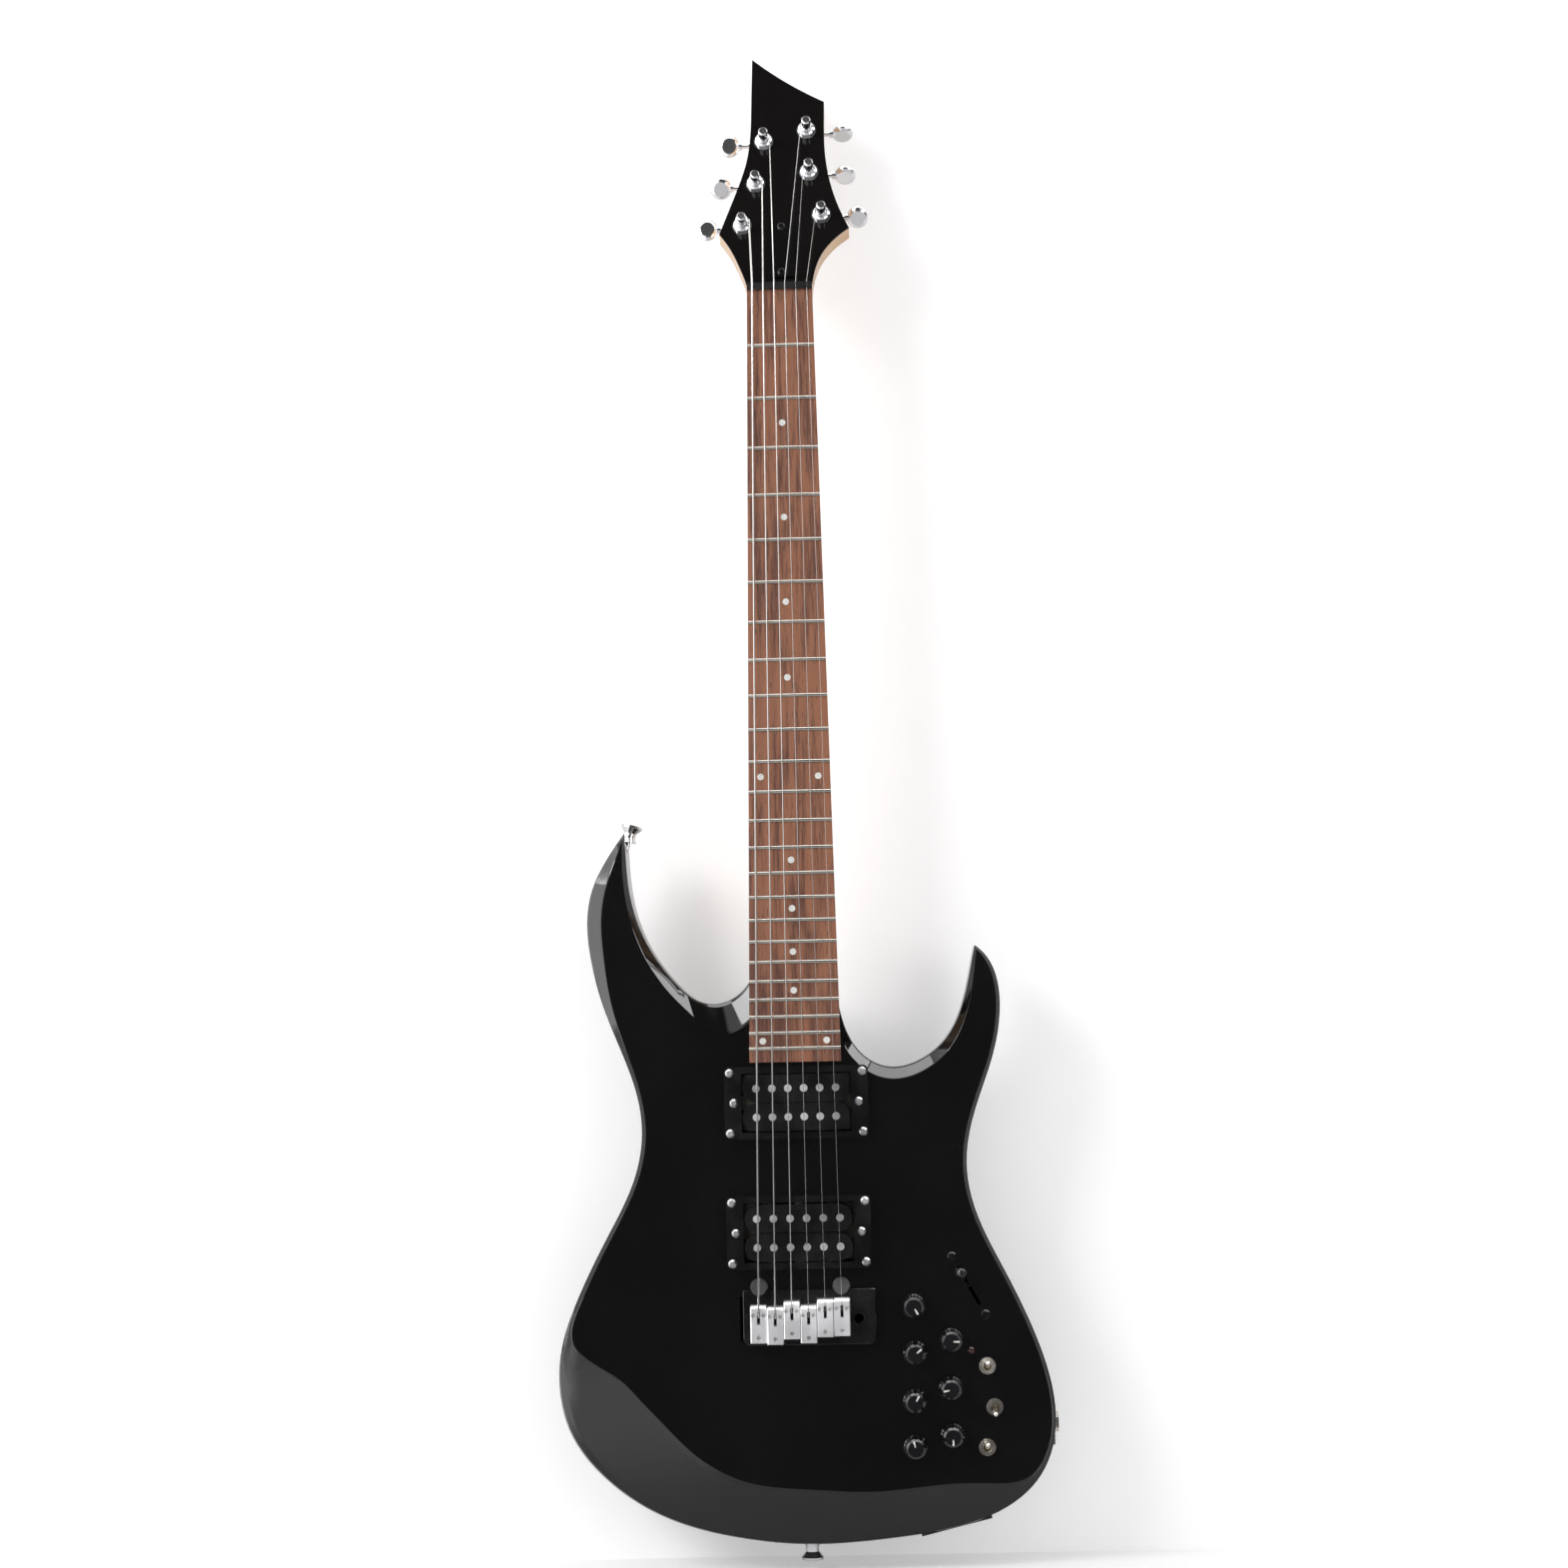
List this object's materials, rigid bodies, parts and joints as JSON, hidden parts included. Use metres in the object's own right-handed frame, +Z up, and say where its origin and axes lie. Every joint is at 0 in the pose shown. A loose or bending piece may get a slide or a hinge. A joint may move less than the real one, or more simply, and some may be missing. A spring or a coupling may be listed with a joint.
{
  "type": "electric guitar",
  "caption": "Solid-body electric guitar with bolt-on neck, humbucking pickups, floating tremolo bridge, rotary knobs, toggle switches and a lever switch.",
  "frame": {"origin": "on the centreline at the nut line, on the level of the body's flat top", "axes": "+X towards the treble side, +Y from the front face to the back, +Z up the neck towards the headstock"},
  "size_m": [0.314, 0.0657, 0.9738],
  "materials": {
    "body_gloss": "deep black high-gloss lacquer over wood",
    "neck_maple": "satin lacquered maple",
    "rod_steel": "plain steel rod",
    "veneer_gloss": "black gloss lacquered face",
    "trim_plastic": "black moulded plastic",
    "board_rosewood": "oiled rosewood",
    "dot_pearl": "white inlay dots",
    "fret_nickel": "polished nickel silver wire",
    "nut_black": "black polished nut",
    "tuner_chrome": "bright chrome",
    "string_steel": "nickel wound and plain steel",
    "plate_black": "black plated steel",
    "block_steel": "machined steel block",
    "saddle_chrome": "polished chrome",
    "screw_steel": "zinc plated steel screws",
    "spring_steel": "spring wire and claw",
    "ring_plastic": "black satin plastic",
    "bobbin_plastic": "black moulded bobbins",
    "base_nickel": "nickel silver sheet",
    "knob_black": "black knob with a white pointer line",
    "pot_metal": "pressed metal cans",
    "toggle_nickel": "warm nickel plate",
    "lens_plastic": "small tinted lens in a dark collar",
    "circuit_green": "green board, dark battery case",
    "jack_nickel": "nickel plate",
    "cover_plastic": "black satin sheet plastic"
  },
  "bodies": {
    "instrument": {"body": "body_gloss", "neck": "neck_maple", "truss_rod": "rod_steel", "headstock_veneer": "veneer_gloss", "truss_rod_cover": "trim_plastic", "fretboard": "board_rosewood", "inlay_dots": "dot_pearl", "frets": "fret_nickel", "nut": "nut_black", "tuner_housings": "tuner_chrome", "tuner_bushings": "tuner_chrome", "strings": "string_steel", "trem_studs": "saddle_chrome", "trem_springs": "spring_steel", "spring_claw": "spring_steel", "pickup_rings": "ring_plastic", "pickup_bobbins": "bobbin_plastic", "pickup_poles": "screw_steel", "pickup_baseplates": "base_nickel", "pickup_screws": "screw_steel", "pots": "pot_metal", "toggle_switches": "toggle_nickel", "selector_switch": "pot_metal", "indicator_light": "lens_plastic", "circuit_board": "circuit_green", "output_jack": "jack_nickel", "strap_buttons": "saddle_chrome", "neck_plate": "saddle_chrome", "neck_screws": "screw_steel", "cover_plates": "cover_plastic", "small_screws": "screw_steel"},
    "key_1": {"tuner_key_1": "tuner_chrome"},
    "post_1": {"tuner_post_1": "tuner_chrome"},
    "key_2": {"tuner_key_2": "tuner_chrome"},
    "post_2": {"tuner_post_2": "tuner_chrome"},
    "key_3": {"tuner_key_3": "tuner_chrome"},
    "post_3": {"tuner_post_3": "tuner_chrome"},
    "key_4": {"tuner_key_4": "tuner_chrome"},
    "post_4": {"tuner_post_4": "tuner_chrome"},
    "key_5": {"tuner_key_5": "tuner_chrome"},
    "post_5": {"tuner_post_5": "tuner_chrome"},
    "key_6": {"tuner_key_6": "tuner_chrome"},
    "post_6": {"tuner_post_6": "tuner_chrome"},
    "tremolo": {"trem_plate": "plate_black", "trem_block": "block_steel", "saddles": "saddle_chrome", "saddle_screws": "screw_steel", "string_tails": "string_steel"},
    "control_1": {"knob_1": "knob_black"},
    "control_2": {"knob_2": "knob_black"},
    "control_3": {"knob_3": "knob_black"},
    "control_4": {"knob_4": "knob_black"},
    "control_5": {"knob_5": "knob_black"},
    "control_6": {"knob_6": "knob_black"},
    "control_7": {"knob_7": "knob_black"},
    "toggle_1": {"toggle_lever_1": "toggle_nickel"},
    "toggle_2": {"toggle_lever_2": "toggle_nickel"},
    "toggle_3": {"toggle_lever_3": "toggle_nickel"},
    "selector": {"selector_lever": "trim_plastic"}
  },
  "joints": [
    {"name": "key_1_turn", "type": "hinge", "parent": "instrument", "child": "key_1", "pos_m": [-0.0239, 0.02787, 0.05054], "axis": [1, 0, 0], "continuous": true},
    {"name": "post_1_turn", "type": "hinge", "parent": "instrument", "child": "post_1", "pos_m": [-0.0239, 0.00737, 0.04706], "axis": [0, -0.9744, 0.225], "continuous": true},
    {"name": "key_2_turn", "type": "hinge", "parent": "instrument", "child": "key_2", "pos_m": [-0.0148, 0.03471, 0.08016], "axis": [1, 0, 0], "continuous": true},
    {"name": "post_2_turn", "type": "hinge", "parent": "instrument", "child": "post_2", "pos_m": [-0.0148, 0.0142, 0.07668], "axis": [0, -0.9744, 0.225], "continuous": true},
    {"name": "key_3_turn", "type": "hinge", "parent": "instrument", "child": "key_3", "pos_m": [-0.0092, 0.04175, 0.11066], "axis": [1, 0, 0], "continuous": true},
    {"name": "post_3_turn", "type": "hinge", "parent": "instrument", "child": "post_3", "pos_m": [-0.0092, 0.02124, 0.10718], "axis": [0, -0.9744, 0.225], "continuous": true},
    {"name": "key_4_turn", "type": "hinge", "parent": "instrument", "child": "key_4", "pos_m": [0.019, 0.04344, 0.11796], "axis": [1, 0, 0], "continuous": true},
    {"name": "post_4_turn", "type": "hinge", "parent": "instrument", "child": "post_4", "pos_m": [0.019, 0.02293, 0.11449], "axis": [0, -0.9744, 0.225], "continuous": true},
    {"name": "key_5_turn", "type": "hinge", "parent": "instrument", "child": "key_5", "pos_m": [0.0201, 0.03644, 0.08766], "axis": [1, 0, 0], "continuous": true},
    {"name": "post_5_turn", "type": "hinge", "parent": "instrument", "child": "post_5", "pos_m": [0.0201, 0.01594, 0.08419], "axis": [0, -0.9744, 0.225], "continuous": true},
    {"name": "key_6_turn", "type": "hinge", "parent": "instrument", "child": "key_6", "pos_m": [0.0277, 0.02938, 0.05707], "axis": [1, 0, 0], "continuous": true},
    {"name": "post_6_turn", "type": "hinge", "parent": "instrument", "child": "post_6", "pos_m": [0.0277, 0.00887, 0.05359], "axis": [0, -0.9744, 0.225], "continuous": true},
    {"name": "tremolo_pivot", "type": "hinge", "parent": "instrument", "child": "tremolo", "pos_m": [0, -0.0035, -0.637], "axis": [1, 0, 0], "range_deg": [-10, 3], "stiffness_Nm_per_rad": 8, "deforming": ["strings", "trem_springs"]},
    {"name": "knob_1_turn", "type": "hinge", "parent": "instrument", "child": "control_1", "pos_m": [0.0707, -0.005, -0.6478], "axis": [0, 1, 0], "range_deg": [-300, 0]},
    {"name": "knob_2_turn", "type": "hinge", "parent": "instrument", "child": "control_2", "pos_m": [0.071, -0.005, -0.6767], "axis": [0, 1, 0], "range_deg": [-200, 100]},
    {"name": "knob_3_turn", "type": "hinge", "parent": "instrument", "child": "control_3", "pos_m": [0.0936, -0.005, -0.6693], "axis": [0, 1, 0], "range_deg": [-240, 60]},
    {"name": "knob_4_turn", "type": "hinge", "parent": "instrument", "child": "control_4", "pos_m": [0.0703, -0.005, -0.7064], "axis": [0, 1, 0], "range_deg": [-180, 120]},
    {"name": "knob_5_turn", "type": "hinge", "parent": "instrument", "child": "control_5", "pos_m": [0.0928, -0.005, -0.6988], "axis": [0, 1, 0], "range_deg": [-50, 250]},
    {"name": "knob_6_turn", "type": "hinge", "parent": "instrument", "child": "control_6", "pos_m": [0.07, -0.005, -0.7346], "axis": [0, 1, 0], "range_deg": [-135, 165]},
    {"name": "knob_7_turn", "type": "hinge", "parent": "instrument", "child": "control_7", "pos_m": [0.0932, -0.005, -0.7279], "axis": [0, 1, 0], "range_deg": [0, 300]},
    {"name": "toggle_1_flip", "type": "hinge", "parent": "instrument", "child": "toggle_1", "pos_m": [0.1159, 0.0014, -0.6858], "axis": [1, 0, 0], "range_deg": [0, 22]},
    {"name": "toggle_2_flip", "type": "hinge", "parent": "instrument", "child": "toggle_2", "pos_m": [0.1199, 0.0014, -0.7111], "axis": [1, 0, 0], "range_deg": [-22, 0]},
    {"name": "toggle_3_flip", "type": "hinge", "parent": "instrument", "child": "toggle_3", "pos_m": [0.1146, 0.0014, -0.7358], "axis": [1, 0, 0], "range_deg": [0, 22]},
    {"name": "selector_swing", "type": "hinge", "parent": "instrument", "child": "selector", "pos_m": [0.10555, 0.015, -0.6359], "axis": [0.8722, 0, 0.4891], "range_deg": [0, 44]}
  ],
  "couplings": [
    {"joint": "post_1_turn", "follows": "key_1_turn", "ratio": -0.071429},
    {"joint": "post_2_turn", "follows": "key_2_turn", "ratio": -0.071429},
    {"joint": "post_3_turn", "follows": "key_3_turn", "ratio": -0.071429},
    {"joint": "post_4_turn", "follows": "key_4_turn", "ratio": 0.071429},
    {"joint": "post_5_turn", "follows": "key_5_turn", "ratio": 0.071429},
    {"joint": "post_6_turn", "follows": "key_6_turn", "ratio": 0.071429}
  ]
}
